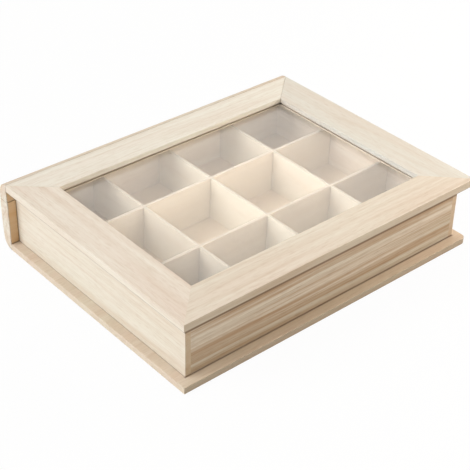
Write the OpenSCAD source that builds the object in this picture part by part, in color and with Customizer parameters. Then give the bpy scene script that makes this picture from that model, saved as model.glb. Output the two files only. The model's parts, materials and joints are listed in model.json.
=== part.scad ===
// Book-shaped wooden box for tea bags, in millimetres.
// Two thin covers reach past a four-walled box on three sides, like the boards
// of a book. A rounded spine closes the back. The upper strip of the spine
// belongs to the glazed lid, which swings on two butt hinges let into the spine.
// +X runs along the spine, +Y points to the spine, +Z is up. The origin is on
// the resting face, in the middle of the whole box.

/* [Covers] */
// Length of the covers and of the spine
cover_length = 335; // [280:5:400]
// Depth of the covers, from the fore-edge to the spine's inner face
cover_depth = 254; // [210:2:310]
// Height of the closed box
box_height = 70; // [64:1:100]
// Thickness of the base board
base_thickness = 6.5; // [4:0.5:12]
// Thickness of the lid's rails
lid_thickness = 7.5; // [6:0.5:12]
// Reach of the covers past the box at the front
front_overhang = 10; // [4:0.5:16]
// Reach of the covers past the box at each end
end_overhang = 9; // [4:0.5:16]

/* [Spine] */
// Thickness of the spine at its middle
spine_thickness = 12; // [10:0.5:20]
// Radius of the spine's gently rounded outer face
spine_bulge_radius = 300; // [200:10:800]
// Radius of the spine's upper and lower outer edges
spine_edge_radius = 11; // [4:0.5:12]
// Height of the upper strip of the spine, which moves with the lid
lid_strip_height = 19; // [17:0.5:26]

/* [Box] */
// Thickness of the box's walls
wall_thickness = 5.5; // [4:0.5:9]
// Thickness of the floor panel, which lies on the base board
floor_thickness = 3; // [2:0.5:6]
// Thickness of the dividers
divider_thickness = 3; // [2:0.5:5]
// Height of the dividers above the floor panel
divider_height = 43; // [30:0.5:44]

/* [Window] */
// Width of the lid's front rail and of its two end rails
rail_width = 36; // [28:1:50]
// Width of the lid's back rail
back_rail_width = 32; // [28:1:50]
// Thickness of the window pane
pane_thickness = 1.5; // [1:0.1:3]
// Width of the rebate that the pane lies in
rebate_width = 5; // [3:0.5:8]
// Space between the pane and the roof of its rebate
pane_headroom = 0.9; // [0.2:0.1:1.5]
// Width of the strips that hold the pane in from below
pane_strip_width = 10; // [8:0.5:14]
// Height of the strips that hold the pane in from below
pane_strip_height = 1.2; // [0.8:0.2:4]

/* [Hinges] */
// Distance between the middles of the two hinges
hinge_spacing = 190; // [100:5:250]
// Length of each hinge along its pin
hinge_length = 25; // [20:1:40]
// Height of each leaf, from the pin to its free edge
leaf_height = 9.5; // [8:0.5:12]
// Thickness of the leaf's sheet metal
leaf_thickness = 0.8; // [0.6:0.1:1.2]
// Radius of the hinge pin
pin_radius = 0.8; // [0.6:0.1:1.2]

/* [Screws] */
// Radius of the screws' shanks
shank_radius = 1; // [0.8:0.1:1.2]
// Radius of the screws' countersunk heads
screw_head_radius = 1.8; // [1.5:0.1:2.2]
// Length of the screws with their heads
screw_length = 8; // [5:0.5:9]
// Distance between the two screws in one leaf
screw_spacing = 15; // [10:0.5:17]
// Distance from a screw's axis to the leaf's free edge
screw_edge_distance = 3.5; // [2.5:0.5:4]
// Width of the cross recess in the screws' heads
recess_width = 0.4; // [0.3:0.1:0.6]
// Depth of the cross recess in the screws' heads
recess_depth = 0.4; // [0.2:0.1:0.5]

/* [Clearances] */
// Gap under the closed lid, and at the split between the two parts of the spine
lid_gap = 0.6; // [0.3:0.1:1]
// Play round the floor panel, at the dividers' ends and in their halved joints
joinery_play = 0.2; // [0.05:0.05:0.3]
// Play between the pane's edges and the sides of its rebate
pane_play = 0.5; // [0.2:0.1:1.5]
// Running clearance of the pin in the lid's knuckle
pin_clearance = 0.05; // [0.02:0.01:0.1]
// Space between hinge parts that turn past each other or past the wood
hinge_clearance = 0.3; // [0.3:0.05:0.6]
// Play between a leaf's edges and the mortise that it lies in
mortise_play = 0.15; // [0.1:0.05:0.5]
// Play round and below a screw in its hole in the wood
screw_play = 0.05; // [0.02:0.01:0.1]

/* [Hidden] */
$fn = 96;

// Finishes
lid_wood = "#e6dac8";
wall_wood = "#e9dcc2";
base_wood = "#dcc8a8";
divider_wood = "#efe4d2";
panel_wood = "#d8c8b8";
clear_glass = [0.75, 0.8, 0.8, 0.3];
brass = "#c9a54e";

// Sides of a frame, counted round it from the front
FRONT = 0;
RIGHT = 1;
BACK = 2;
LEFT = 3;

// Compartments along the length and along the depth
columns = 4;
rows = 3;

// How far cuts run past the solids that they open
overcut = 1;

// Levels
lid_bottom = box_height - lid_thickness;
wall_top = lid_bottom - lid_gap;
floor_top = base_thickness + floor_thickness;
split_height = box_height - lid_strip_height;

// Drop of the spine's rounded face at a distance from mid-height
function bulge_drop(distance) =
    spine_bulge_radius - sqrt(pow(spine_bulge_radius, 2) - pow(distance, 2));

// Spine profile: thickness where its rounded edges begin, and their radius,
// which the spine's own thickness limits
edge_thickness = spine_thickness - bulge_drop(box_height / 2 - spine_edge_radius);
edge_radius = min(spine_edge_radius, edge_thickness);

// Hinge: the leaves lie flush with the spine at the split, on their mortises'
// floors, and the pin's axis stands just clear of the wood
barrel_radius = pin_radius + leaf_thickness;
axis_past_spine_face =
    spine_thickness - bulge_drop(split_height - box_height / 2) + pin_radius;
knuckle_length = (hinge_length - 2 * hinge_clearance) / 3;
knuckle_pitch = knuckle_length + hinge_clearance;
screw_row = leaf_height - screw_edge_distance;

// Places along the depth; the hinge barrels are the rearmost metal
full_depth = cover_depth + max(spine_thickness, axis_past_spine_face + barrel_radius);
front_y = -full_depth / 2;
spine_y = front_y + cover_depth;
hinge_y = spine_y + axis_past_spine_face;

// Corners of a rectangle, counted round it from its front left corner
function rectangle(left, front, right, back) =
    [[left, front], [right, front], [right, back], [left, back]];
function grown(corners, by) =
    rectangle(corners[0][0] - by, corners[0][1] - by, corners[2][0] + by, corners[2][1] + by);
function width_of(corners) = corners[2][0] - corners[0][0];
function depth_of(corners) = corners[2][1] - corners[0][1];

cover_plan = rectangle(-cover_length / 2, front_y, cover_length / 2, spine_y);
box_plan = rectangle(-cover_length / 2 + end_overhang, front_y + front_overhang,
                     cover_length / 2 - end_overhang, spine_y);
hollow_plan = grown(box_plan, -wall_thickness);
window_plan = rectangle(-cover_length / 2 + rail_width, front_y + rail_width,
                        cover_length / 2 - rail_width, spine_y - back_rail_width);
rebate_plan = grown(window_plan, rebate_width);

// Distance from one divider to the next
column_pitch = (width_of(hollow_plan) + divider_thickness) / columns;
row_pitch = (depth_of(hollow_plan) + divider_thickness) / rows;

// ---- Shared shapes ----

module slab(corners, thickness) {
    translate(corners[0])
        cube([width_of(corners), depth_of(corners), thickness]);
}

// One side of a mitred frame between two rectangles
module mitred_side(outer, inner, side, height) {
    next = (side + 1) % 4;
    linear_extrude(height)
        polygon([outer[side], outer[next], inner[next], inner[side]]);
}

// Rod along X, centred
module rod(radius, length) {
    rotate([0, 90, 0])
        cylinder(r = radius, h = length, center = true);
}

// End view of the whole spine: x is the distance from its inner face, y is height
module spine_profile() {
    intersection() {
        square([spine_thickness, box_height]);
        translate([spine_thickness - spine_bulge_radius, box_height / 2])
            circle(spine_bulge_radius, $fn = 1440);
        union() {
            translate([0, edge_radius])
                square([spine_thickness, box_height - 2 * edge_radius]);
            square([edge_thickness - edge_radius + 0.001, box_height]);
            for (edge_middle = [edge_radius, box_height - edge_radius])
                translate([edge_thickness - edge_radius, edge_middle])
                    circle(edge_radius);
        }
    }
}

// The spine between two heights, from a distance past its inner face outwards
module spine_slice(bottom, top, inner_face) {
    translate([-cover_length / 2, spine_y, 0])
        rotate([90, 0, 90])
            linear_extrude(cover_length)
                intersection() {
                    spine_profile();
                    translate([inner_face, bottom])
                        square([spine_thickness, top - bottom]);
                }
}

// A hinge's place, on its pin's axis; side is -1 for the left hinge
module hinge_place(side) {
    translate([side * hinge_spacing / 2, hinge_y, split_height])
        children();
}

// Both hinges' places
module at_hinges() {
    for (side = [-1, 1])
        hinge_place(side)
            children();
}

// Screw places of one leaf, on its outer face, with +Z along the screw's way in;
// up is 1 on the lid and -1 on the box
module at_screws(up) {
    for (side = [-1, 1])
        translate([side * screw_spacing / 2, leaf_thickness - barrel_radius, up * screw_row])
            rotate([90, 0, 0])
                children();
}

module screw_head(extra_height) {
    cylinder(r1 = screw_head_radius, r2 = shank_radius, h = leaf_thickness);
    translate([0, 0, -extra_height])
        cylinder(r = screw_head_radius, h = extra_height);
}

// One leaf about its pin's axis. own and other list the knuckles' places in
// pitches from the middle.
module hinge_leaf(up, own, other, bore_radius) {
    difference() {
        union() {
            translate([-hinge_length / 2, -barrel_radius, min(0, up * leaf_height)])
                cube([hinge_length, leaf_thickness, leaf_height]);
            for (place = own)
                translate([place * knuckle_pitch, 0, 0])
                    rod(barrel_radius, knuckle_length);
        }
        for (place = other)
            translate([place * knuckle_pitch, 0, 0])
                rod(barrel_radius + hinge_clearance, knuckle_length + 2 * hinge_clearance);
        rod(bore_radius, hinge_length + 2 * overcut);
        at_screws(up)
            screw_head(overcut);
    }
}

module box_leaf() {
    hinge_leaf(-1, [-1, 1], [0], pin_radius);
}

module lid_leaf() {
    hinge_leaf(1, [0], [-1, 1], pin_radius + pin_clearance);
}

// Everything cut from the wood for one leaf: mortise, barrel groove, screw holes
module leaf_seat(up) {
    seat_length = hinge_length + 2 * mortise_play;
    seat_height = leaf_height + mortise_play + lid_gap;
    hole_depth = screw_length - leaf_thickness + screw_play;
    translate([-seat_length / 2, -barrel_radius,
               up > 0 ? -lid_gap : lid_gap - seat_height])
        cube([seat_length, 2 * barrel_radius + overcut, seat_height]);
    rod(barrel_radius + hinge_clearance, seat_length);
    at_screws(up)
        translate([0, 0, leaf_thickness - overcut / 4])
            cylinder(r = shank_radius + screw_play, h = hole_depth + overcut / 4);
}

module countersunk_screw() {
    difference() {
        union() {
            screw_head(0);
            cylinder(r = shank_radius, h = screw_length);
        }
        for (turn = [0, 90])
            rotate([0, 0, turn])
                cube([2 * shank_radius, recess_width, 2 * recess_depth], center = true);
    }
}

// ---- Box ----

module base_board() {
    color(base_wood)
        slab(cover_plan, base_thickness);
}

module floor_panel() {
    color(panel_wood)
        translate([0, 0, base_thickness])
            slab(grown(hollow_plan, -joinery_play), floor_thickness);
}

module spine_board() {
    color(base_wood)
        difference() {
            spine_slice(0, split_height - lid_gap / 2, 0);
            at_hinges()
                leaf_seat(-1);
        }
}

module box_wall(left, front, right, back) {
    color(wall_wood)
        translate([0, 0, base_thickness])
            slab(rectangle(left, front, right, back), wall_top - base_thickness);
}

// End wall over the box's whole depth, so that its end grain shows at the front
module end_wall(outer_x, inner_x) {
    box_wall(min(outer_x, inner_x), box_plan[0][1], max(outer_x, inner_x), box_plan[2][1]);
}

// Wall along the box, butted between the two end walls
module long_wall(front, back) {
    box_wall(hollow_plan[0][0], front, hollow_plan[2][0], back);
}

// Divider along Y, halved from above where the long dividers cross it
module cross_divider(number) {
    slot_width = divider_thickness + 2 * joinery_play;
    color(divider_wood)
        translate([hollow_plan[0][0] + number * column_pitch - divider_thickness,
                   hollow_plan[0][1], floor_top])
            difference() {
                translate([0, joinery_play, 0])
                    cube([divider_thickness, depth_of(hollow_plan) - 2 * joinery_play,
                          divider_height]);
                for (row = [1 : rows - 1])
                    translate([-overcut, row * row_pitch - divider_thickness - joinery_play,
                               divider_height / 2])
                        cube([divider_thickness + 2 * overcut, slot_width, divider_height]);
            }
}

// Divider along X, halved from below where the cross dividers pass
module long_divider(number) {
    slot_width = divider_thickness + 2 * joinery_play;
    color(divider_wood)
        translate([hollow_plan[0][0],
                   hollow_plan[0][1] + number * row_pitch - divider_thickness, floor_top])
            difference() {
                translate([joinery_play, 0, 0])
                    cube([width_of(hollow_plan) - 2 * joinery_play, divider_thickness,
                          divider_height]);
                for (column = [1 : columns - 1])
                    translate([column * column_pitch - divider_thickness - joinery_play,
                               -overcut, -divider_height / 2])
                        cube([slot_width, divider_thickness + 2 * overcut, divider_height]);
            }
}

// ---- Lid ----

// Rail of the lid's mitred frame, rebated from below for the pane
module lid_rail(side) {
    rebate_depth = pane_thickness + pane_headroom;
    color(lid_wood)
        difference() {
            translate([0, 0, lid_bottom])
                mitred_side(cover_plan, window_plan, side, lid_thickness);
            translate([0, 0, lid_bottom - overcut])
                slab(rebate_plan, rebate_depth + overcut);
        }
}

// Upper part of the spine, glued to the back rail. Below the rail its inner
// face stands back from the box's back wall.
module lid_spine_strip() {
    color(base_wood)
        difference() {
            union() {
                spine_slice(lid_bottom, box_height, 0);
                spine_slice(split_height + lid_gap / 2, box_height, lid_gap);
            }
            at_hinges()
                leaf_seat(1);
        }
}

module window_pane() {
    color(clear_glass)
        translate([0, 0, lid_bottom])
            slab(grown(rebate_plan, -pane_play), pane_thickness);
}

// Strip under the lid's frame that holds the pane in its rebate, flush with
// the window's edge
module pane_strip(side) {
    color(divider_wood)
        translate([0, 0, lid_bottom - pane_strip_height])
            mitred_side(grown(window_plan, pane_strip_width), window_plan, side,
                        pane_strip_height);
}

// ---- Hinges ----

module hinge_pin() {
    color(brass)
        rod(pin_radius, hinge_length);
}

module hinge_screws(up) {
    color(brass)
        at_hinges()
            at_screws(up)
                countersunk_screw();
}

// ---- Assembly ----

base_board();
floor_panel();
spine_board();
long_wall(box_plan[0][1], hollow_plan[0][1]);  // box_front_wall
end_wall(box_plan[2][0], hollow_plan[2][0]);  // box_right_wall
long_wall(hollow_plan[2][1], box_plan[2][1]);  // box_back_wall
end_wall(box_plan[0][0], hollow_plan[0][0]);  // box_left_wall
cross_divider(1);  // cross_divider_1
cross_divider(2);  // cross_divider_2
cross_divider(3);  // cross_divider_3
long_divider(1);  // long_divider_1
long_divider(2);  // long_divider_2
lid_rail(FRONT);  // lid_front_rail
lid_rail(RIGHT);  // lid_right_rail
lid_rail(BACK);  // lid_back_rail
lid_rail(LEFT);  // lid_left_rail
lid_spine_strip();
window_pane();
pane_strip(FRONT);  // pane_strip_front
pane_strip(RIGHT);  // pane_strip_right
pane_strip(BACK);  // pane_strip_back
pane_strip(LEFT);  // pane_strip_left
hinge_place(-1) color(brass) box_leaf();  // left_hinge_box_leaf
hinge_place(-1) color(brass) lid_leaf();  // left_hinge_lid_leaf
hinge_place(-1) hinge_pin();  // left_hinge_pin
hinge_place(1) color(brass) box_leaf();  // right_hinge_box_leaf
hinge_place(1) color(brass) lid_leaf();  // right_hinge_lid_leaf
hinge_place(1) hinge_pin();  // right_hinge_pin
hinge_screws(-1);  // hinge_screws_box
hinge_screws(1);  // hinge_screws_lid
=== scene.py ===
"""Looks of a book-shaped wooden tea bag box: soft arrises, bare wood, window glass, brass hinges and studio light.

Every piece is dressed where the fixed frame holds it. The frame's axes are +X along the spine to the right end,
+Y from the front edge to the spine and +Z up, in metres.
"""

import json
import math

import bmesh
import bpy
from bpy.props import FloatProperty, FloatVectorProperty, PointerProperty
from mathutils import Matrix, Vector

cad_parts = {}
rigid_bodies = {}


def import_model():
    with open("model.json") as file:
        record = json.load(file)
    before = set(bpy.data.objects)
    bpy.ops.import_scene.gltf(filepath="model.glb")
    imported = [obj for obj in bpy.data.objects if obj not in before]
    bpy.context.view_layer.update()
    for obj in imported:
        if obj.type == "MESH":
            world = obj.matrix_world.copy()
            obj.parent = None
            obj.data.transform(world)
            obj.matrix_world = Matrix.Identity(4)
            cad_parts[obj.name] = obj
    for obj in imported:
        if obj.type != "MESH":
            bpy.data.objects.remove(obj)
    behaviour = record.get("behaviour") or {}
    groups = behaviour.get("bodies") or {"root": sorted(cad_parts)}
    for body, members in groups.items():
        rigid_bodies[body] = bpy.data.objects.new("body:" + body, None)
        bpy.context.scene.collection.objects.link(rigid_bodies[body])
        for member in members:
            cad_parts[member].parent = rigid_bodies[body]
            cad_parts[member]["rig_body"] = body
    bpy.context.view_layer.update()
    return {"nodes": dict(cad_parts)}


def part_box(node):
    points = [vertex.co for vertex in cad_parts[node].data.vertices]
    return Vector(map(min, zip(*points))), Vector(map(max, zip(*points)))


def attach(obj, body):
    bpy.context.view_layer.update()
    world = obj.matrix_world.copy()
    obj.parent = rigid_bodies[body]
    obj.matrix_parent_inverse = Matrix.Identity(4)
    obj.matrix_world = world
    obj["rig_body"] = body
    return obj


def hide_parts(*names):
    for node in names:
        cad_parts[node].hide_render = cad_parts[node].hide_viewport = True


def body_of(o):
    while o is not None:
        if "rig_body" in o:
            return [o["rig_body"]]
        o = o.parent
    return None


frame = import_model()

bl_info = {
    "name": "Tea Bag Box",
    "version": (1, 0, 0),
    "blender": (4, 5, 0),
    "location": "View3D > Sidebar > Tea Box",
    "description": "Finishes a wooden tea bag box around its fixed frame",
    "category": "Object",
}

MM = 0.001

# Sockets of the colour Mix node, which has no names of its own for them
MIX_FACTOR, MIX_A, MIX_B, MIX_RESULT = 0, 6, 7, 2


def linear(code):
    """An sRGB hex colour as linear red, green and blue."""
    channels = [int(code[i : i + 2], 16) / 255 for i in (1, 3, 5)]
    return [c / 12.92 if c <= 0.04045 else ((c + 0.055) / 1.055) ** 2.4 for c in channels]


def solid(colour):
    """A colour property with full opacity, as shader sockets take it."""
    return (*colour, 1.0)


# ---- What a user may change ----


def colour_property(name, description, code):
    """A colour that a user may change, with an sRGB hex code as its default."""
    return FloatVectorProperty(name=name, description=description, default=linear(code), subtype="COLOR", size=3,
                               min=0, max=1)


class TeaBoxWood(bpy.types.PropertyGroup):
    """Tones of the bare wood and of the painted shade on its edges and tops, in and beside its joints with their
    dust, under the lid and on the spine's inner face
    """

    lid_left: colour_property("Lid left", "Pale tone of the lid's left rail", "#f3ece0")
    lid_front: colour_property("Lid front", "Pale tone of the lid's front rail", "#ece6d8")
    lid_right: colour_property("Lid right", "Pale tone of the lid's right rail", "#e5e6de")
    # The back rail is whiter than the others partly as painted sheen, the gloss of the far rail at a grazing view
    lid_back: colour_property("Lid back", "Pale tone of the lid's back rail", "#f5f4ea")
    left_wall: colour_property("Left wall", "Pale tone of the left wall", "#eae4d6")
    front_wall: colour_property("Front wall", "Pale tone of the front wall", "#c9c6ba")
    inner_wall: colour_property("Inner walls", "Pale tone of the right and back walls", "#ece5d9")
    base: colour_property("Base", "Pale tone of the base board", "#e1d6c3")
    spine: colour_property("Spine", "Pale tone of the spine", "#e8e3d6")
    cross_divider: colour_property("Cross dividers", "Pale tone of the dividers from front to back", "#e6e1d3")
    long_divider: colour_property("Long dividers", "Pale tone of the dividers along the box", "#f3ebdc")
    floor: colour_property("Floor", "Pale tone of the floor panel", "#e9ddc8")
    streak: colour_property("Streaks", "Tone of the growth rings' late wood", "#bf9f78")
    front_streak: colour_property("Front streaks", "Tone of the brown streaks in the front wall", "#9c7c58")
    blush: colour_property("Blush", "Tone of the pinkish patches between the rings", "#e3cdbd")
    # Painted shade, with the dust of the joints, in and beside the joints, along the lid's lower arrises and on the
    # front wall's top
    dust_and_painted_shade: colour_property("Joints", "Tone of the dust and the shade in tight joints", "#4a2a0e")
    # Painted shade: each of these multiplies the tone of faces square to one axis, as though less light fell on them;
    # the end grain's is partly the wood's own darker tone
    end_shade: colour_property("End grain", "What multiplies the tone of end grain", "#d0c7bb")
    lid_edge_shade: colour_property("Lid's front edge", "What multiplies the tone of the lid's front edge", "#d4d4d2")
    base_edge_shade: colour_property("Base's front edge", "What multiplies the tone of the base's front edge",
                                     "#c9c9c7")
    side_shade: colour_property("Side edge", "What multiplies the tone of the lid's left edge", "#f8f7f5")
    top_shade: colour_property("Worn tops", "What multiplies the tone of the dividers' tops", "#e1e0e1")
    # Painted warm shade: the tone of the spine's inner face beside the box's left wall, as lit by light bounced
    # between the wood's faces
    warm_shade_tone: colour_property("Stain", "Tone of wood that glue and handling have yellowed", "#f2c180")


class TeaBoxFittings(bpy.types.PropertyGroup):
    """Tones of the window glass and the hinges"""

    glass: colour_property("Glass", "Tint of the window glass", "#f8f6f3")
    glass_edge: colour_property("Glass edge", "Tint of the glass seen through its cut edge", "#bfd4c9")
    brass: colour_property("Brass", "Polished brass", "#d6b263")
    tarnish: colour_property("Tarnish", "Brass where it has dulled", "#b08c4a")


class TeaBoxSizes(bpy.types.PropertyGroup):
    """Radii of the rounded arrises"""

    board_arris: FloatProperty(name="Board arris", description="Rounding of the covers' and the spine's arrises",
                               default=0.5 * MM, min=0, unit="LENGTH")
    wall_arris: FloatProperty(name="Wall arris", description="Rounding of the box walls' arrises",
                              default=0.35 * MM, min=0, unit="LENGTH")
    divider_arris: FloatProperty(name="Divider arris", description="Rounding of the dividers' and strips' arrises",
                                 default=0.4 * MM, min=0, unit="LENGTH")
    seam_arris: FloatProperty(name="Seam arris", description="Rounding along a glued mitre",
                              default=0.05 * MM, min=0, unit="LENGTH")
    worn_corner: FloatProperty(name="Worn corner", description="Radius of the base board's right front corner",
                               default=5 * MM, min=0, unit="LENGTH")
    metal_arris: FloatProperty(name="Metal arris", description="Rounding of the hinges' pressed edges",
                               default=0.12 * MM, min=0, unit="LENGTH")


class TeaBoxStudio(bpy.types.PropertyGroup):
    """Levels of the lamps, the floor's shadow and the camera's lens"""

    key_level: FloatProperty(name="Key", description="Share of full white that the key lamp gives a facing surface",
                             default=1.03, min=0)
    back_level: FloatProperty(name="Back", description="The same for the lamp behind", default=0.24, min=0)
    corner_level: FloatProperty(name="Corner", description="The same for the lamp behind the far corner",
                                default=0.32, min=0)
    card_level: FloatProperty(name="Card", description="The same for the low card on the right", default=0.77, min=0)
    front_level: FloatProperty(name="Front", description="The same for the small lamp over the fore-edge",
                               default=0.06, min=0)
    foot_level: FloatProperty(name="Foot", description="The same for the low card before the fore-edge",
                              default=0.29, min=0)
    warm_light: colour_property("Warm light", "Colour of the lamps and cards on the right and in front", "#fff2e2")
    shadow_share: FloatProperty(name="Shadow", description="How much of the floor's shadow shows", default=0.04,
                                min=0, max=1, subtype="FACTOR")
    lens: FloatProperty(name="Lens", description="Focal length on a 36 mm wide sensor", default=96.05, min=1,
                        unit="CAMERA")


# ---- Nodes ----


def new_tree(name):
    """An empty material's node tree, with the material."""
    material = bpy.data.materials.new(name)
    material.use_nodes = True
    material.node_tree.nodes.clear()
    return material, material.node_tree


def add_node(tree, kind, inputs=None, **settings):
    """Adds a node, sets its settings, then sets or links its inputs by name or number."""
    node = tree.nodes.new(kind)
    for name, value in settings.items():
        setattr(node, name, value)
    for socket, value in (inputs or {}).items():
        if isinstance(value, bpy.types.NodeSocket):
            tree.links.new(value, node.inputs[socket])
        else:
            node.inputs[socket].default_value = value
    return node


def ramp(tree, factor, stops):
    """A grey ramp with a stop for each place and level."""
    node = add_node(tree, "ShaderNodeValToRGB", {"Fac": factor})
    elements = node.color_ramp.elements
    elements[0].position, elements[1].position = stops[0][0], stops[-1][0]
    for place, _ in stops[1:-1]:
        elements.new(place)
    for element, (_, level) in zip(elements, stops):
        element.color = (level, level, level, 1)
    return node.outputs["Color"]


def mixed(tree, factor, first, second, blend="MIX"):
    """Two colours mixed by a factor."""
    node = add_node(tree, "ShaderNodeMix", data_type="RGBA", blend_type=blend,
                    inputs={MIX_FACTOR: factor, MIX_A: first, MIX_B: second})
    return node.outputs[MIX_RESULT]


def stretched_noise(tree, board, across, along, detail=0.0, shift=0.0):
    """Noise drawn out along the grain: a patch is about across wide and along long, in metres.

    shift takes it from another part of the noise, so that two patterns on one board don't repeat each other.
    """
    drawn = add_node(tree, "ShaderNodeMapping", {
        "Vector": board,
        "Location": (shift, shift, shift),
        "Scale": (1 / across, 1 / across, 1 / along),
    })
    return add_node(tree, "ShaderNodeTexNoise", {"Vector": drawn.outputs["Vector"], "Scale": 1.0, "Detail": detail})


def finish_material(tree, shader):
    """Shows the shader on the surface."""
    add_node(tree, "ShaderNodeOutputMaterial", {"Surface": shader})


# ---- Materials ----

# Turns that bring a board's grain to the pattern's own Z axis
GRAIN_TURN = {"X": (0, -math.pi / 2, 0), "Y": (math.pi / 2, 0, 0)}


def heart_place(grain, heart):
    """The Mapping location that puts a log's heart on the pattern's Z axis.

    heart is its place in the board's end view: (y, z) for grain along X, (x, z) for grain along Y.
    """
    side, height = heart
    return (height, -side, 0) if grain == "X" else (-side, height, 0)


def joint_shade(tree, point, joints):
    """How strongly painted shade, with the dust of joints, shows on the wood, from 0 to 1.

    Each box of painted shade is two corners of the box that it fills, its reach past that box and its depth.
    """
    total = 0.0
    for low, high, reach, depth in joints:
        middle, half = (Vector(low) + Vector(high)) / 2, (Vector(high) - Vector(low)) / 2
        offset = add_node(tree, "ShaderNodeVectorMath", {0: point, 1: middle}, operation="SUBTRACT").outputs[0]
        away = add_node(tree, "ShaderNodeVectorMath", {0: offset}, operation="ABSOLUTE").outputs[0]
        past = add_node(tree, "ShaderNodeVectorMath", {0: away, 1: half}, operation="SUBTRACT").outputs[0]
        sides = add_node(tree, "ShaderNodeSeparateXYZ", {"Vector": past}).outputs
        wide = add_node(tree, "ShaderNodeMath", {0: sides[0], 1: sides[1]}, operation="MAXIMUM").outputs[0]
        far = add_node(tree, "ShaderNodeMath", {0: wide, 1: sides[2]}, operation="MAXIMUM").outputs[0]
        shade = add_node(tree, "ShaderNodeMapRange", interpolation_type="SMOOTHSTEP", inputs={
            "Value": far, "From Min": 0.0, "From Max": reach, "To Min": depth, "To Max": 0.0}).outputs["Result"]
        total = add_node(tree, "ShaderNodeMath", {0: shade, 1: total}, operation="MAXIMUM").outputs[0]
    return total


def paulownia(name, pale, grain, heart, ring=6 * MM, wander=12 * MM, ring_depth=0.3, broad_depth=0.2,
              streak_depth=0.3, streak_width=2.2 * MM, streak=None, blush_depth=0.5, pore_depth=0.18, shades=(),
              joints=(), warm_shade_boxes=()):
    """Paulownia, planed and sanded and left bare: matt, very pale, with wide soft rings, thin brown streaks along
    the grain and open pores. It is cut from a log, so the figure runs through the board from face to face.

    ring is the rings' spacing and wander how far they bend. Each depth is how strongly a feature's own tone shows.
    shades are pairs of an axis and the colour of painted shade that multiplies the tone of faces square to it.
    The last two arguments are boxes of painted shade, with the dust of joints, and boxes of painted warm shade.
    """
    wood = bpy.context.scene.tea_box_wood
    material, tree = new_tree(name)
    place = add_node(tree, "ShaderNodeTexCoord")
    board = add_node(tree, "ShaderNodeMapping", {
        "Vector": place.outputs["Object"],
        "Rotation": GRAIN_TURN[grain],
        "Location": heart_place(grain, heart),
    }).outputs["Vector"]

    # The rings bend to and fro over about a hand's length of board
    bends = stretched_noise(tree, board, 22 * MM, 190 * MM, detail=1.0).outputs["Color"]
    centred = add_node(tree, "ShaderNodeVectorMath", {0: bends, 1: (0.5, 0.5, 0.5)}, operation="SUBTRACT")
    warped = add_node(tree, "ShaderNodeVectorMath", operation="MULTIPLY_ADD",
                      inputs={0: centred.outputs[0], 1: (wander, wander, 0), 2: board}).outputs[0]
    # The wave's rings repeat every pi / 10 of its own unit
    rings = add_node(tree, "ShaderNodeTexWave", {"Vector": warped, "Scale": math.pi / 10 / ring},
                     wave_type="RINGS", rings_direction="Z", wave_profile="SAW").outputs["Fac"]
    late_wood = ramp(tree, rings, [(0.0, 0.85), (0.1, 1.0), (0.3, 0.3), (0.7, 0.0), (0.94, 0.15), (1.0, 0.8)])
    patches = stretched_noise(tree, board, 16 * MM, 130 * MM, detail=1.0, shift=3.0).outputs["Fac"]
    uneven = ramp(tree, patches, [(0.3, 0.0), (0.72, 1.0)])
    belts = stretched_noise(tree, warped, 7 * MM, 260 * MM, detail=1.0, shift=5.0).outputs["Fac"]
    broad = ramp(tree, belts, [(0.4, 0.0), (0.62, 1.0)])
    bands = stretched_noise(tree, warped, streak_width, 280 * MM, detail=2.0, shift=7.0).outputs["Fac"]
    streaks = ramp(tree, bands, [(0.45, 0.0), (0.75, 1.0)])
    # The pores are drawn about twice as coarse as real ones, so that they show
    dashes = stretched_noise(tree, board, 0.8 * MM, 9 * MM, detail=1.0, shift=11.0).outputs["Fac"]
    pores = ramp(tree, dashes, [(0.5, 0.0), (0.75, 1.0)])

    def scaled(value, amount):
        """A node's value times an amount."""
        return add_node(tree, "ShaderNodeMath", {0: value, 1: amount}, operation="MULTIPLY").outputs[0]

    brown = solid(streak or wood.streak)
    ground = mixed(tree, scaled(uneven, blush_depth), solid(pale), solid(wood.blush))
    ring_share = add_node(tree, "ShaderNodeMath", {0: uneven, 1: 0.7, 2: 0.3}, operation="MULTIPLY_ADD").outputs[0]
    colour = mixed(tree, scaled(broad, broad_depth), ground, brown)
    colour = mixed(tree, scaled(scaled(late_wood, ring_share), ring_depth), colour, brown)
    colour = mixed(tree, scaled(streaks, streak_depth), colour, brown)
    colour = mixed(tree, scaled(pores, pore_depth), colour, brown, blend="MULTIPLY")
    for axis, shade in shades:
        # Painted shade darkens faces square to the axis, as though less light fell on them; on end grain it is partly
        # the wood's own darker tone
        lean = add_node(tree, "ShaderNodeSeparateXYZ", {"Vector": place.outputs["Normal"]}).outputs[axis]
        square = ramp(tree, add_node(tree, "ShaderNodeMath", {0: lean}, operation="ABSOLUTE").outputs[0],
                      [(0.6, 0.0), (0.95, 1.0)])
        colour = mixed(tree, square, colour, solid(shade), blend="MULTIPLY")
    # Painted warm shade, as from light bounced between the wood's faces
    if warm_shade_boxes:
        colour = mixed(tree, joint_shade(tree, place.outputs["Object"], warm_shade_boxes), colour, solid(wood.warm_shade_tone))
    # Painted shade, with the dust of joints, in its boxes
    if joints:
        colour = mixed(tree, joint_shade(tree, place.outputs["Object"], joints), colour, solid(wood.dust_and_painted_shade))

    roughness = add_node(tree, "ShaderNodeMapRange",
                         {"Value": late_wood, "To Min": 0.62, "To Max": 0.5}).outputs["Result"]
    relief = add_node(tree, "ShaderNodeMath", {0: dashes, 1: -1.0, 2: bands}, operation="MULTIPLY_ADD").outputs[0]
    bump = add_node(tree, "ShaderNodeBump", {"Height": relief, "Strength": 0.35, "Distance": 0.12 * MM})
    shader = add_node(tree, "ShaderNodeBsdfPrincipled", {
        "Base Color": colour,
        "Roughness": roughness,
        "Normal": bump.outputs["Normal"],
        "IOR": 1.5,
        "Specular IOR Level": 0.2,
    })
    finish_material(tree, shader.outputs["BSDF"])
    return material


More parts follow.
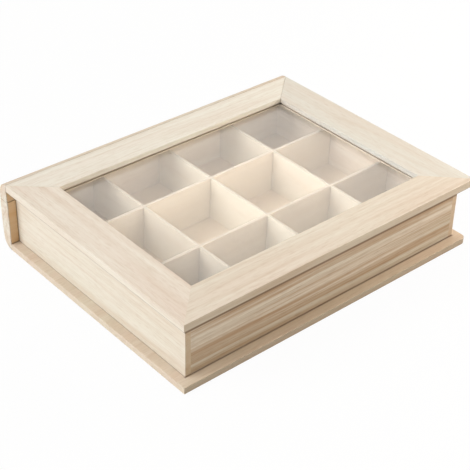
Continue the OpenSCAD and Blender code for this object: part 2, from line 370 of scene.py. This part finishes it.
def float_glass(name):
    """Float glass, cut and laid in a rebate: flat, polished by its own melt, green along the cut edge.

    A thin film of sanding dust lays a pale veil over what is inside and takes the edge off its mirror images, so
    a tenth of it is matt and its IOR is below plain glass's 1.5.
    """
    fittings = bpy.context.scene.tea_box_fittings
    material, tree = new_tree(name)
    place = add_node(tree, "ShaderNodeTexCoord")
    facing = add_node(tree, "ShaderNodeSeparateXYZ", {"Vector": place.outputs["Normal"]}).outputs["Z"]
    flat = add_node(tree, "ShaderNodeMath", {0: facing}, operation="ABSOLUTE").outputs[0]
    tint = mixed(tree, ramp(tree, flat, [(0.2, 0.0), (0.8, 1.0)]), solid(fittings.glass_edge), solid(fittings.glass))
    glass = add_node(tree, "ShaderNodeBsdfPrincipled", {
        "Base Color": tint,
        "Transmission Weight": 0.9,
        "Roughness": 0.0,
        "IOR": 1.4,
    })
    # Lamps shine through the pane, as through real glass, less what its faces turn back
    clear = add_node(tree, "ShaderNodeBsdfTransparent", {"Color": (0.93, 0.935, 0.935, 1)})
    path = add_node(tree, "ShaderNodeLightPath")
    both = add_node(tree, "ShaderNodeMixShader",
                    {0: path.outputs["Is Shadow Ray"], 1: glass.outputs["BSDF"], 2: clear.outputs["BSDF"]})
    finish_material(tree, both.outputs["Shader"])
    return material


def rolled_brass(name):
    """Rolled and tumbled brass: bright yellow, with fine rolling lines along the hinge and duller clouds."""
    fittings = bpy.context.scene.tea_box_fittings
    material, tree = new_tree(name)
    place = add_node(tree, "ShaderNodeTexCoord")
    sheet = add_node(tree, "ShaderNodeMapping",
                     {"Vector": place.outputs["Object"], "Rotation": GRAIN_TURN["X"]}).outputs["Vector"]
    clouds = stretched_noise(tree, sheet, 5 * MM, 9 * MM, detail=3.0).outputs["Fac"]
    lines = stretched_noise(tree, sheet, 0.2 * MM, 8 * MM, detail=2.0, shift=5.0).outputs["Fac"]
    dulled = ramp(tree, clouds, [(0.4, 0.0), (0.7, 1.0)])
    colour = mixed(tree, dulled, solid(fittings.brass), solid(fittings.tarnish))
    roughness = add_node(tree, "ShaderNodeMapRange", {"Value": dulled, "To Min": 0.22, "To Max": 0.38})
    bump = add_node(tree, "ShaderNodeBump", {"Height": lines, "Strength": 0.2, "Distance": 0.02 * MM})
    shader = add_node(tree, "ShaderNodeBsdfPrincipled", {
        "Base Color": colour,
        "Metallic": 1.0,
        "Roughness": roughness.outputs["Result"],
        "Normal": bump.outputs["Normal"],
    })
    finish_material(tree, shader.outputs["BSDF"])
    return material


# ---- Pieces ----

# Corners nearer than this are one corner
MERGE_DISTANCE = 0.001 * MM
# Facets of a curved face turn by more than this, triangles of a flat face by less
FLAT_ANGLE = math.radians(0.02)
SHARP_ANGLE = math.radians(40)
# A rounded arris turns by 30 degrees from one of its facets to the next
SMOOTH_ANGLE = math.radians(36)
# A mitre's face is larger than this, and its normal's parts agree within the slack
LEAST_MITRE = 4 * MM * MM
NORMAL_SLACK = 0.01
# Facets across a worn corner, a sanded arris and a glued seam
CORNER_FACETS, ARRIS_FACETS, SEAM_FACETS = 6, 3, 1
# Arrises of the plywood floor and of the window glass, which only lose their burr
PLY_ARRIS = 0.2 * MM
GLASS_ARRIS = 0.15 * MM
# How far round a hinge leaf the wood is cut crisply
SEAT_MARGIN = 0.6 * MM


def select_only(piece):
    """Selects one piece and makes it active."""
    bpy.ops.object.select_all(action="DESELECT")
    piece.select_set(True)
    bpy.context.view_layer.objects.active = piece


def in_box(point, box):
    """True for a point within a box of two corners."""
    low, high = box
    return all(a <= p <= b for a, p, b in zip(low, point, high))


def grown(box, margin):
    """A box larger by margin on every side."""
    low, high = box
    return low - Vector((margin,) * 3), high + Vector((margin,) * 3)


def is_mitred(edge):
    """True for an edge of a vertical face at 45 degrees, where two boards are glued."""
    return any(face.calc_area() > LEAST_MITRE and abs(face.normal.z) < NORMAL_SLACK
               and abs(abs(face.normal.x) - abs(face.normal.y)) < NORMAL_SLACK for face in edge.link_faces)


def round_edges(piece, width, segments, chosen):
    """Rounds the piece's sharp outward edges that are chosen."""
    whole = bmesh.new()
    whole.from_mesh(piece.data)
    name = "bevel_weight_edge"
    weight = whole.edges.layers.float.get(name) or whole.edges.layers.float.new(name)
    for edge in whole.edges:
        outward = len(edge.link_faces) == 2 and edge.calc_face_angle_signed() > SHARP_ANGLE
        edge[weight] = 1.0 if outward and chosen(edge) else 0.0
    whole.to_mesh(piece.data)
    whole.free()
    bpy.ops.object.modifier_add(type="BEVEL")
    bevel = piece.modifiers[-1]
    bevel.limit_method = "WEIGHT"
    bevel.width = width
    bevel.segments = segments
    bevel.use_clamp_overlap = False
    bevel.loop_slide = False
    bpy.ops.object.modifier_apply(modifier=bevel.name)


def softened(node, arris, seam_arris=0.0, crisp=(), worn=None):
    """A whole copy of a node's mesh in its place, with rounded arrises.

    Mitred arrises are rounded by seam_arris, and arrises in a crisp box aren't rounded. worn is the place in plan
    of one upright corner and its radius.
    """
    piece = bpy.data.objects.new(node + "_finished", frame["nodes"][node].data.copy())
    bpy.context.collection.objects.link(piece)
    select_only(piece)
    bpy.ops.mesh.customdata_custom_splitnormals_clear()
    bpy.ops.object.mode_set(mode="EDIT")
    bpy.ops.mesh.select_all(action="SELECT")
    bpy.ops.mesh.remove_doubles(threshold=MERGE_DISTANCE)
    bpy.ops.mesh.dissolve_limited(angle_limit=FLAT_ANGLE)
    bpy.ops.object.mode_set(mode="OBJECT")

    if worn:
        corner, radius = worn
        round_edges(piece, radius, CORNER_FACETS,
                    lambda edge: all((v.co.xy - corner).length < MERGE_DISTANCE for v in edge.verts))

    def is_free(edge):
        """True for an edge that is neither a glued mitre nor in a crisp box."""
        return not is_mitred(edge) and not any(in_box(v.co, box) for v in edge.verts for box in crisp)

    round_edges(piece, arris, ARRIS_FACETS, is_free)
    if seam_arris:
        round_edges(piece, seam_arris, SEAM_FACETS, is_mitred)
    bpy.ops.object.shade_smooth_by_angle(angle=SMOOTH_ANGLE)
    bpy.ops.object.modifier_add(type="WEIGHTED_NORMAL")
    normals = piece.modifiers[-1]
    normals.keep_sharp = True
    bpy.ops.object.modifier_apply(modifier=normals.name)
    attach(piece, body_of(frame["nodes"][node])[0])
    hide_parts(node)
    return piece


def dress(piece, material):
    """Gives a piece its material, in its one slot."""
    piece.data.materials.clear()
    piece.data.materials.append(material)


def hinge_seats():
    """Boxes round the hinge leaves, where the wood keeps its crisp cuts."""
    return [grown(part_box(f"{side}_hinge_{half}_leaf"), SEAT_MARGIN)
            for side in ("left", "right") for half in ("box", "lid")]


def butt_seams():
    """Boxes round the two upright seams where the front wall meets the end walls."""
    low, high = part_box("box_front_wall")
    return [grown((Vector((x, low.y, low.z)), Vector((x, low.y, high.z))), SEAT_MARGIN) for x in (low.x, high.x)]


def painted_shade_lines():
    """The lines of painted shade, with the dust of the joints, each as joint_shade takes it."""
    left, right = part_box("box_left_wall"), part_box("box_right_wall")
    spine, strip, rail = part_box("spine_board"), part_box("lid_spine_strip"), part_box("lid_front_rail")
    front, wall_x, foot = left[0].y, left[0].x, left[0].z
    inner, end = spine[0].y, spine[0].x
    low, high = rail[0], rail[1]
    return (
        # Painted shade at the front wall's foot on the base board, and painted shadow on its top as far down as the
        # lid's overhang keeps the light off
        ((wall_x, front, foot), (right[1].x, front, foot), 1.7 * MM, 0.62),
        ((wall_x, front, low.z - 11.2 * MM), (right[1].x, front, low.z), 1.1 * MM, 0.6),
        # Painted shade at the left wall's foot, in its corner with the spine, and at the foot of the spine's setback
        ((wall_x, front, foot), (wall_x, inner, foot), 0.9 * MM, 0.23),
        ((wall_x, inner, foot), (wall_x, inner, left[1].z), 1.2 * MM, 0.41),
        ((end + 1 * MM, inner, foot), (wall_x, inner, foot), 1.2 * MM, 0.45),
        # Painted shade, with dust, in the split in the spine's end and in the seam between the lid and its spine
        # strip
        ((end, inner, spine[1].z), (end, spine[1].y, strip[0].z), 0.4 * MM, 0.36),
        ((end, inner, left[1].z), (end, inner, strip[1].z - 1.5 * MM), 0.6 * MM, 0.45),
        # Painted shadow along the lid's lower arrises in front and on the left
        ((low.x, low.y, low.z), (high.x, low.y, low.z), 1.2 * MM, 0.9),
        ((low.x, low.y, low.z), (low.x, inner, low.z), 1.3 * MM, 0.54),
    )


def warm_shade_faces():
    """The spine's inner face beside the box's left wall, where painted warm shade stands for light bounced between
    the wood's faces.
    """
    spine, strip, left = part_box("spine_board"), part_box("lid_spine_strip"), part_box("box_left_wall")
    end, inner = spine[0].x, spine[0].y
    near, far = (end + 1 * MM, inner, left[0].z), (left[0].x, inner + 1 * MM, strip[0].z + 10 * MM)
    return ((near, far, 0.3 * MM, 0.6),)


class TEABOX_OT_base_board(bpy.types.Operator):
    """Round the base board's arrises and give it its wood"""

    bl_idname = "tea_box.base_board"
    bl_label = "Base Board"

    def execute(self, context):
        wood = context.scene.tea_box_wood
        sizes = context.scene.tea_box_sizes
        low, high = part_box("base_board")
        board = softened("base_board", sizes.board_arris, worn=(Vector((high.x, low.y)), sizes.worn_corner))
        # Painted shade on the front edge and, with the joints' dust, along the joints
        dress(board, paulownia("paulownia_base", wood.base, "X", (low.y - 0.05, -0.05), ring=14 * MM, ring_depth=0.08,
                               broad_depth=0.1, streak_depth=0.14, shades=(("Y", wood.base_edge_shade),),
                               joints=painted_shade_lines()))
        return {"FINISHED"}


class TEABOX_OT_floor_panel(bpy.types.Operator):
    """Give the compartments' floor its thin plywood face"""

    bl_idname = "tea_box.floor_panel"
    bl_label = "Floor Panel"

    def execute(self, context):
        wood = context.scene.tea_box_wood
        panel = softened("floor_panel", PLY_ARRIS)
        dress(panel, paulownia("plywood_floor", wood.floor, "X", (0.0, -0.12), ring=14 * MM, ring_depth=0.1,
                               broad_depth=0.05, streak_depth=0.12))
        return {"FINISHED"}


class TEABOX_OT_walls(bpy.types.Operator):
    """Round the four walls' arrises and give them their wood"""

    bl_idname = "tea_box.walls"
    bl_label = "Walls"

    def execute(self, context):
        wood = context.scene.tea_box_wood
        sizes = context.scene.tea_box_sizes
        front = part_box("box_front_wall")[0]
        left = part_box("box_left_wall")[0]
        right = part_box("box_right_wall")[1]
        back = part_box("box_back_wall")[1]
        # Painted shade on the end walls' end grain, partly the wood's own darker tone, and with the joints' dust
        # along the joints; painted shadow on the front wall's top
        woods = {
            "front": paulownia("paulownia_front_wall", wood.front_wall, "X", (front.y + 0.01, -0.1), ring=9 * MM,
                               wander=4 * MM, ring_depth=0.45, broad_depth=0.55, streak_depth=0.66,
                               streak_width=1.2 * MM, streak=wood.front_streak, blush_depth=0.3, pore_depth=0.2,
                               joints=painted_shade_lines()),
            "left": paulownia("paulownia_left_wall", wood.left_wall, "Y", (left.x + 0.03, -0.12), ring=9 * MM,
                              ring_depth=0.12, broad_depth=0.12, streak_depth=0.15, blush_depth=0.2,
                              shades=(("Y", wood.end_shade),), joints=painted_shade_lines()),
            "right": paulownia("paulownia_right_wall", wood.inner_wall, "Y", (right.x - 0.02, -0.09), ring=6 * MM,
                               ring_depth=0.14, broad_depth=0.08, streak_depth=0.16, blush_depth=0.5,
                               shades=(("Y", wood.end_shade),), joints=painted_shade_lines()),
            "back": paulownia("paulownia_back_wall", wood.inner_wall, "X", (back.y - 0.02, -0.1), ring=8 * MM,
                              ring_depth=0.06, broad_depth=0.06, streak_depth=0.1),
        }
        for side, material in woods.items():
            dress(softened(f"box_{side}_wall", sizes.wall_arris, crisp=butt_seams()), material)
        return {"FINISHED"}


class TEABOX_OT_dividers(bpy.types.Operator):
    """Round the dividers' arrises and give them their wood"""

    bl_idname = "tea_box.dividers"
    bl_label = "Dividers"

    def execute(self, context):
        wood = context.scene.tea_box_wood
        arris = context.scene.tea_box_sizes.divider_arris
        # Painted shade on the dividers' tops
        faint = dict(ring=8 * MM, ring_depth=0.08, broad_depth=0.04, streak_depth=0.1, blush_depth=0.2,
                     pore_depth=0.06, shades=(("Z", wood.top_shade),))
        across = paulownia("paulownia_cross_dividers", wood.cross_divider, "Y", (-0.3, -0.08), **faint)
        along = paulownia("paulownia_long_dividers", wood.long_divider, "X", (-0.3, -0.08), **faint)
        for node in sorted(frame["nodes"]):
            if node.startswith("cross_divider_"):
                dress(softened(node, arris), across)
            if node.startswith("long_divider_"):
                dress(softened(node, arris), along)
        return {"FINISHED"}


class TEABOX_OT_spine(bpy.types.Operator):
    """Round the arrises of both parts of the spine, but for the hinges' seats, and give them their wood"""

    bl_idname = "tea_box.spine"
    bl_label = "Spine"

    def execute(self, context):
        wood = context.scene.tea_box_wood
        arris = context.scene.tea_box_sizes.board_arris
        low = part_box("spine_board")[0]
        # Painted shade, with the joints' dust, along the spine's joints, and painted warm shade on its inner face
        material = paulownia("paulownia_spine", wood.spine, "X", (low.y - 0.06, 0.01), ring=6 * MM, ring_depth=0.3,
                             joints=painted_shade_lines(), warm_shade_boxes=warm_shade_faces())
        for node in ("spine_board", "lid_spine_strip"):
            dress(softened(node, arris, crisp=hinge_seats()), material)
        return {"FINISHED"}


class TEABOX_OT_lid_rails(bpy.types.Operator):
    """Round the lid rails' arrises and give them their wood"""

    bl_idname = "tea_box.lid_rails"
    bl_label = "Lid Rails"

    def execute(self, context):
        wood = context.scene.tea_box_wood
        sizes = context.scene.tea_box_sizes
        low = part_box("lid_front_rail")[0]
        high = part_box("lid_back_rail")[1]
        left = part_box("lid_left_rail")[0]
        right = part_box("lid_right_rail")[1]
        # Painted shade on the front and left rails' outer edges, and painted shadow along their lower arrises
        woods = {
            "front": paulownia("paulownia_front_rail", wood.lid_front, "X", (low.y - 0.1, low.z), ring=11 * MM,
                               ring_depth=0.14, broad_depth=0.12, streak_depth=0.2, blush_depth=0.4,
                               shades=(("Y", wood.lid_edge_shade),), joints=painted_shade_lines()),
            "right": paulownia("paulownia_right_rail", wood.lid_right, "Y", (right.x - 0.018, low.z - 0.03),
                               ring=9 * MM, ring_depth=0.12, broad_depth=0.08, streak_depth=0.12, blush_depth=0.3),
            "back": paulownia("paulownia_back_rail", wood.lid_back, "X", (high.y + 0.09, low.z - 0.04), ring=9 * MM,
                              ring_depth=0.12, broad_depth=0.08, streak_depth=0.14, blush_depth=0.3),
            "left": paulownia("paulownia_left_rail", wood.lid_left, "Y", (left.x - 0.08, low.z - 0.02), ring=12 * MM,
                              ring_depth=0.08, broad_depth=0.1, streak_depth=0.16, blush_depth=0.6,
                              pore_depth=0.2, shades=(("X", wood.side_shade),), joints=painted_shade_lines()),
        }
        for side, material in woods.items():
            dress(softened(f"lid_{side}_rail", sizes.board_arris, sizes.seam_arris), material)
        return {"FINISHED"}


class TEABOX_OT_window(bpy.types.Operator):
    """Give the window pane its glass, and the strips under it their wood"""

    bl_idname = "tea_box.window"
    bl_label = "Window"

    def execute(self, context):
        wood = context.scene.tea_box_wood
        sizes = context.scene.tea_box_sizes
        pane = softened("window_pane", GLASS_ARRIS)
        dress(pane, float_glass("float_glass"))
        strips = {
            "X": paulownia("paulownia_strips_along", wood.long_divider, "X", (-0.4, 0.0), ring_depth=0.1,
                           broad_depth=0.05),
            "Y": paulownia("paulownia_strips_across", wood.long_divider, "Y", (-0.4, 0.0), ring_depth=0.1,
                           broad_depth=0.05),
        }
        for side, grain in (("front", "X"), ("right", "Y"), ("back", "X"), ("left", "Y")):
            strip = softened(f"pane_strip_{side}", sizes.divider_arris, sizes.seam_arris)
            dress(strip, strips[grain])
        return {"FINISHED"}


class TEABOX_OT_hinges(bpy.types.Operator):
    """Round the pressed edges of the hinges and give leaves, pins and screws their brass"""

    bl_idname = "tea_box.hinges"
    bl_label = "Hinges"

    def execute(self, context):
        arris = context.scene.tea_box_sizes.metal_arris
        brass = rolled_brass("rolled_brass")
        for side in ("left", "right"):
            for part in ("box_leaf", "lid_leaf", "pin"):
                dress(softened(f"{side}_hinge_{part}", arris), brass)
        turned = rolled_brass("turned_brass")
        for node in ("hinge_screws_box", "hinge_screws_lid"):
            dress(softened(node, arris / 2), turned)
        return {"FINISHED"}


# ---- Stage ----

# The camera stands off the box's near left corner and looks down on it
CAMERA_PLACE = (-0.62783, -0.71845, 0.66814)
# Its direction in plan from +X, its tilt below the horizon and its roll
CAMERA_AZIMUTH = math.radians(48.91)
CAMERA_TILT = math.radians(34.65)
CAMERA_ROLL = math.radians(1.28)
SENSOR_WIDTH = 36.0

FLOOR_SIZE = 8.0
# Each lamp's azimuth and height in degrees, its distance and its size: a large window on the left, two weaker ones
# behind the spine and the far corner, a low card close by on the right, a small lamp over the fore-edge and a low
# card before it
KEY = (160, 32, 4.0, 3.6)
BACK = (90, 50, 4.0, 3.6)
CORNER = (45, 35, 4.0, 4.0)
CARD = (-22, 20, 0.9, 0.6)
FRONT = (-80, 45, 1.1, 0.3)
FOOT = (-85, 13, 1.4, 0.6)


def soft_lamp(name, place, level, colour=(1.0, 1.0, 1.0)):
    """A square lamp that faces the box; level is the share of full white on a surface that faces it."""
    azimuth, height, distance, size = math.radians(place[0]), math.radians(place[1]), *place[2:]
    direction = Vector((math.cos(azimuth) * math.cos(height), math.sin(azimuth) * math.cos(height), math.sin(height)))
    data = bpy.data.lights.new(name, "AREA")
    data.shape = "SQUARE"
    data.size = size
    # A lamp of P watts gives a white surface that faces it P / (pi * distance) ** 2 of full white
    data.energy = level * (math.pi * distance) ** 2
    data.color = colour
    lamp = bpy.data.objects.new(name, data)
    bpy.context.collection.objects.link(lamp)
    # Gloss shows the white room and not the lamps' own squares
    lamp.visible_glossy = False
    lamp.location = direction * distance
    lamp.rotation_euler = direction.to_track_quat("Z", "Y").to_euler()
    return lamp


def seen_directly(tree):
    """1 for rays from the camera, also by way of gloss or glass, and 0 for rays that light a matt surface."""
    path = add_node(tree, "ShaderNodeLightPath")
    seen = path.outputs["Is Camera Ray"]
    for kind in ("Is Glossy Ray", "Is Transmission Ray"):
        seen = add_node(tree, "ShaderNodeMath", {0: seen, 1: path.outputs[kind]}, operation="MAXIMUM").outputs[0]
    first = add_node(tree, "ShaderNodeMath", {0: path.outputs["Diffuse Depth"], 1: 0.5}, operation="LESS_THAN")
    return add_node(tree, "ShaderNodeMath", {0: seen, 1: first.outputs[0]}, operation="MULTIPLY").outputs[0]


class TEABOX_OT_stage(bpy.types.Operator):
    """Set up the floor, the lamps, the room's light and the camera"""

    bl_idname = "tea_box.stage"
    bl_label = "Stage"

    def execute(self, context):
        studio = context.scene.tea_box_studio
        self.make_floor(studio)
        self.make_room(context)
        soft_lamp("key_lamp", KEY, studio.key_level)
        soft_lamp("back_lamp", BACK, studio.back_level)
        soft_lamp("corner_lamp", CORNER, studio.corner_level, studio.warm_light)
        soft_lamp("card_lamp", CARD, studio.card_level, studio.warm_light)
        soft_lamp("front_lamp", FRONT, studio.front_level, studio.warm_light)
        soft_lamp("foot_lamp", FOOT, studio.foot_level, studio.warm_light)
        self.make_camera(context, studio)
        context.scene.view_settings.view_transform = "Standard"
        return {"FINISHED"}

    def make_floor(self, studio):
        """A plain sheet that the box stands on, white but for the box's shadow."""
        bpy.ops.object.select_all(action="DESELECT")
        bpy.ops.mesh.primitive_plane_add(size=FLOOR_SIZE, location=(0, 0, 0))
        floor = bpy.context.active_object
        floor.name = "studio_floor"
        # Seamless white paper: matt and evenly lit, so that only the box's soft shadow shows on it
        material, tree = new_tree("white_paper")
        paper = add_node(tree, "ShaderNodeBsdfDiffuse", {"Color": solid(linear("#f2f2f0"))})
        glow = add_node(tree, "ShaderNodeEmission", {"Color": (1, 1, 1, 1), "Strength": 1.0})
        share = add_node(tree, "ShaderNodeMath", operation="MULTIPLY",
                         inputs={0: seen_directly(tree), 1: 1 - studio.shadow_share})
        both = add_node(tree, "ShaderNodeMixShader",
                        {0: share.outputs[0], 1: paper.outputs["BSDF"], 2: glow.outputs["Emission"]})
        finish_material(tree, both.outputs["Shader"])
        floor.data.materials.append(material)

    def make_room(self, context):
        """A room that looks white and lights nothing, so that all light on the box is the lamps'."""
        world = bpy.data.worlds.new("white_room")
        context.scene.world = world
        world.use_nodes = True
        tree = world.node_tree
        tree.nodes.clear()
        white = add_node(tree, "ShaderNodeBackground", {"Color": (1, 1, 1, 1), "Strength": seen_directly(tree)})
        add_node(tree, "ShaderNodeOutputWorld", {"Surface": white.outputs["Background"]})

    def make_camera(self, context, studio):
        """A camera on a stand, turned in plan, then tilted down, then rolled."""
        data = bpy.data.cameras.new("studio_camera")
        data.lens = studio.lens
        data.sensor_width = SENSOR_WIDTH
        camera = bpy.data.objects.new("studio_camera", data)
        context.collection.objects.link(camera)
        turn = (Matrix.Rotation(CAMERA_AZIMUTH - math.pi / 2, 4, "Z")
                @ Matrix.Rotation(math.pi / 2 - CAMERA_TILT, 4, "X")
                @ Matrix.Rotation(CAMERA_ROLL, 4, "Z"))
        camera.matrix_world = Matrix.Translation(CAMERA_PLACE) @ turn
        context.scene.camera = camera


# ---- Panel and registration ----

STEPS = (
    TEABOX_OT_base_board, TEABOX_OT_floor_panel, TEABOX_OT_walls, TEABOX_OT_dividers, TEABOX_OT_spine,
    TEABOX_OT_lid_rails, TEABOX_OT_window, TEABOX_OT_hinges, TEABOX_OT_stage,
)
GROUPS = {
    "tea_box_wood": TeaBoxWood,
    "tea_box_fittings": TeaBoxFittings,
    "tea_box_sizes": TeaBoxSizes,
    "tea_box_studio": TeaBoxStudio,
}


class TEABOX_PT_sidebar(bpy.types.Panel):
    """Colours, sizes and steps of the tea bag box"""

    bl_label = "Tea Bag Box"
    bl_idname = "TEABOX_PT_sidebar"
    bl_space_type = "VIEW_3D"
    bl_region_type = "UI"
    bl_category = "Tea Box"

    def draw(self, context):
        for name, group in GROUPS.items():
            column = self.layout.column(align=True)
            for prop in group.__annotations__:
                column.prop(getattr(context.scene, name), prop)
        for step in STEPS:
            self.layout.operator(step.bl_idname)


def register():
    """Makes the groups, the steps and the panel known, and hangs the groups on the scene."""
    for cls in (*GROUPS.values(), *STEPS, TEABOX_PT_sidebar):
        bpy.utils.register_class(cls)
    for name, group in GROUPS.items():
        setattr(bpy.types.Scene, name, PointerProperty(type=group))


def unregister():
    """Takes away what register made."""
    for name in GROUPS:
        delattr(bpy.types.Scene, name)
    for cls in reversed((*GROUPS.values(), *STEPS, TEABOX_PT_sidebar)):
        bpy.utils.unregister_class(cls)


def main():
    """Runs every step in order."""
    register()
    for step in STEPS:
        group, name = step.bl_idname.split(".")
        getattr(getattr(bpy.ops, group), name)()


if __name__ == "__main__":
    main()
